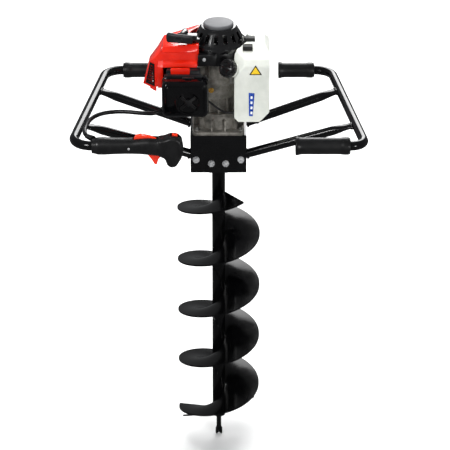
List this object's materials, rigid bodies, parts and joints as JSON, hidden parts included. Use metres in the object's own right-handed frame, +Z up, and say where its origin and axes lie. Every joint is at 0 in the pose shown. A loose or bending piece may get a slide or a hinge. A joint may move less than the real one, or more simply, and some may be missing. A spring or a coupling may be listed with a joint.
{
  "type": "two-man petrol auger",
  "caption": "Two-man petrol auger: recoil-start engine with an upright crankshaft on a wide tube handle frame, geared down to a helical bit with bolted cutting blades and a pilot point.",
  "frame": {"origin": "the pilot point's tip, on the axis of the bit and the crankshaft", "axes": "+Z up along the bit; +X towards the fuel tank; +Y towards the muffler, away from the throttle handle"},
  "size_m": [0.6932, 0.5063, 1.13],
  "materials": {
    "frame_gloss_black": "gloss powder coat",
    "zinc_fasteners": "bright zinc plate",
    "grip_rubber": "moulded rubber",
    "handle_nylon": "moulded nylon",
    "conduit_black": "extruded sleeve",
    "cast_aluminium": "as cast",
    "bearing_steel": "ground",
    "cast_grey": "die cast, grey",
    "steel_bright": "machined",
    "steel_dark": "heat-resistant paint",
    "guard_black": "moulded",
    "cover_red": "gloss moulded ABS",
    "starter_black": "gloss moulded",
    "disc_grey": "satin moulded",
    "tank_white": "blow-moulded polyethylene",
    "mount_rubber": "moulded rubber",
    "insulator_phenolic": "phenolic",
    "carburettor_zinc": "die cast",
    "filter_grey": "moulded",
    "filter_foam": "oiled foam",
    "filter_gloss_black": "gloss moulded",
    "fuel_hose": "extruded hose",
    "bit_black": "gloss powder coat",
    "blade_black": "painted tool steel",
    "gear_steel": "hobbed and hardened",
    "starter_handle_black": "moulded",
    "rope_nylon": "braided nylon",
    "trigger_red": "moulded acetal",
    "primer_clear": "clear moulded",
    "cap_black": "moulded"
  },
  "bodies": {
    "root": {"handle_loop_left": "frame_gloss_black", "handle_loop_right": "frame_gloss_black", "brace_tubes": "frame_gloss_black", "mounting_box": "frame_gloss_black", "hex_bolts": "zinc_fasteners", "rubber_grips": "grip_rubber", "throttle_shell_front": "handle_nylon", "throttle_shell_rear": "handle_nylon", "throttle_cable": "conduit_black", "gearbox_case": "cast_aluminium", "gearbox_cover": "cast_aluminium", "ball_bearings": "bearing_steel", "clutch_housing": "cast_grey", "crankcase_lower": "cast_grey", "crankcase_upper": "cast_grey", "cylinder": "cast_aluminium", "spark_plug": "steel_bright", "plug_boot": "grip_rubber", "ignition_coil": "handle_nylon", "ignition_lead": "conduit_black", "muffler": "steel_dark", "muffler_guard": "guard_black", "cylinder_cover": "cover_red", "fan_housing": "guard_black", "starter_housing": "starter_black", "starter_disc": "disc_grey", "fuel_tank": "tank_white", "tank_mounts": "mount_rubber", "tank_bracket": "frame_gloss_black", "intake_insulator": "insulator_phenolic", "carburettor": "carburettor_zinc", "filter_base": "filter_grey", "filter_element": "filter_foam", "filter_cover": "filter_gloss_black", "fuel_line": "fuel_hose"},
    "bit": {"bit_tube": "bit_black", "flighting": "bit_black", "cutting_blades": "blade_black", "bit_bolts": "zinc_fasteners", "pilot_point": "bit_black", "output_shaft": "steel_bright", "output_gear": "gear_steel"},
    "layshaft": {"layshaft": "gear_steel", "layshaft_gear": "gear_steel"},
    "drum": {"clutch_drum": "steel_dark"},
    "crank": {"crankshaft": "steel_bright", "clutch_shoes": "steel_dark", "flywheel": "cast_aluminium"},
    "piston": {"piston": "cast_aluminium"},
    "rod": {"connecting_rod": "steel_bright"},
    "starter_grip": {"starter_handle": "starter_handle_black"},
    "pulley": {"rope_pulley": "handle_nylon", "starter_rope": "rope_nylon"},
    "trigger": {"throttle_trigger": "trigger_red"},
    "lockout": {"safety_lever": "trigger_red"},
    "switch": {"stop_switch": "trigger_red"},
    "primer": {"primer_bulb": "primer_clear"},
    "choke": {"choke_lever": "handle_nylon"},
    "cap": {"fuel_cap": "cap_black"},
    "knob": {"filter_knob": "handle_nylon"}
  },
  "joints": [
    {"name": "bit_spin", "type": "hinge", "parent": "root", "child": "bit", "pos_m": [0, 0, 0.78], "axis": [0, 0, 1], "continuous": true},
    {"name": "layshaft_spin", "type": "hinge", "parent": "root", "child": "layshaft", "pos_m": [0.0225, 0.03, 0.8], "axis": [0, 0, 1], "continuous": true},
    {"name": "drum_spin", "type": "hinge", "parent": "root", "child": "drum", "pos_m": [0, 0, 0.84], "axis": [0, 0, 1], "continuous": true},
    {"name": "crank_spin", "type": "hinge", "parent": "root", "child": "crank", "pos_m": [0, 0, 1], "axis": [0, 0, 1], "continuous": true},
    {"name": "piston_slide", "type": "slide", "parent": "root", "child": "piston", "axis": [1, 0, 0], "range_m": [0, 0.034]},
    {"name": "rod_swing", "type": "hinge", "parent": "piston", "child": "rod", "pos_m": [-0.079, 0, 0.995], "axis": [0, 0, 1], "range_deg": [-16, 16]},
    {"name": "starter_pull", "type": "slide", "parent": "root", "child": "starter_grip", "axis": [-0.2689, -0.9632, 0], "range_m": [0, 0.6]},
    {"name": "pulley_turn", "type": "hinge", "parent": "root", "child": "pulley", "pos_m": [0, 0, 1.09], "axis": [0, 0, 1], "range_deg": [0, 1300]},
    {"name": "trigger_squeeze", "type": "hinge", "parent": "root", "child": "trigger", "pos_m": [-0.131, -0.232, 0.897], "axis": [0, 1, 0], "range_deg": [0, 12], "stiffness_Nm_per_rad": 0.35, "springref_deg": -11.46},
    {"name": "lockout_press", "type": "hinge", "parent": "root", "child": "lockout", "pos_m": [-0.1895, -0.232, 0.929], "axis": [0, 1, 0], "range_deg": [0, 6], "stiffness_Nm_per_rad": 0.5, "springref_deg": -5.73},
    {"name": "stop_switch_rock", "type": "hinge", "parent": "root", "child": "switch", "pos_m": [-0.1, -0.232, 0.934], "axis": [0, 1, 0], "range_deg": [-8, 8]},
    {"name": "primer_press", "type": "slide", "parent": "root", "child": "primer", "axis": [0, 0, 1], "range_m": [0, 0.002], "stiffness_N_per_m": 400, "springref_m": -0.001},
    {"name": "choke_turn", "type": "hinge", "parent": "root", "child": "choke", "pos_m": [-0.06, -0.072, 1.018], "axis": [0, 1, 0], "range_deg": [0, 60]},
    {"name": "fuel_cap_turn", "type": "hinge", "parent": "root", "child": "cap", "pos_m": [0.022, -0.092, 1.047], "axis": [-0.6319, -0.6319, 0.4489], "range_deg": [0, 540]},
    {"name": "filter_knob_turn", "type": "hinge", "parent": "root", "child": "knob", "pos_m": [-0.07, -0.135, 0.977], "axis": [0, -1, 0], "range_deg": [-720, 720]}
  ],
  "couplings": [
    {"joint": "layshaft_spin", "follows": "bit_spin", "ratio": -5},
    {"joint": "drum_spin", "follows": "bit_spin", "ratio": 25},
    {"joint": "pulley_turn", "follows": "starter_pull", "rad_per_m": 37.736}
  ]
}
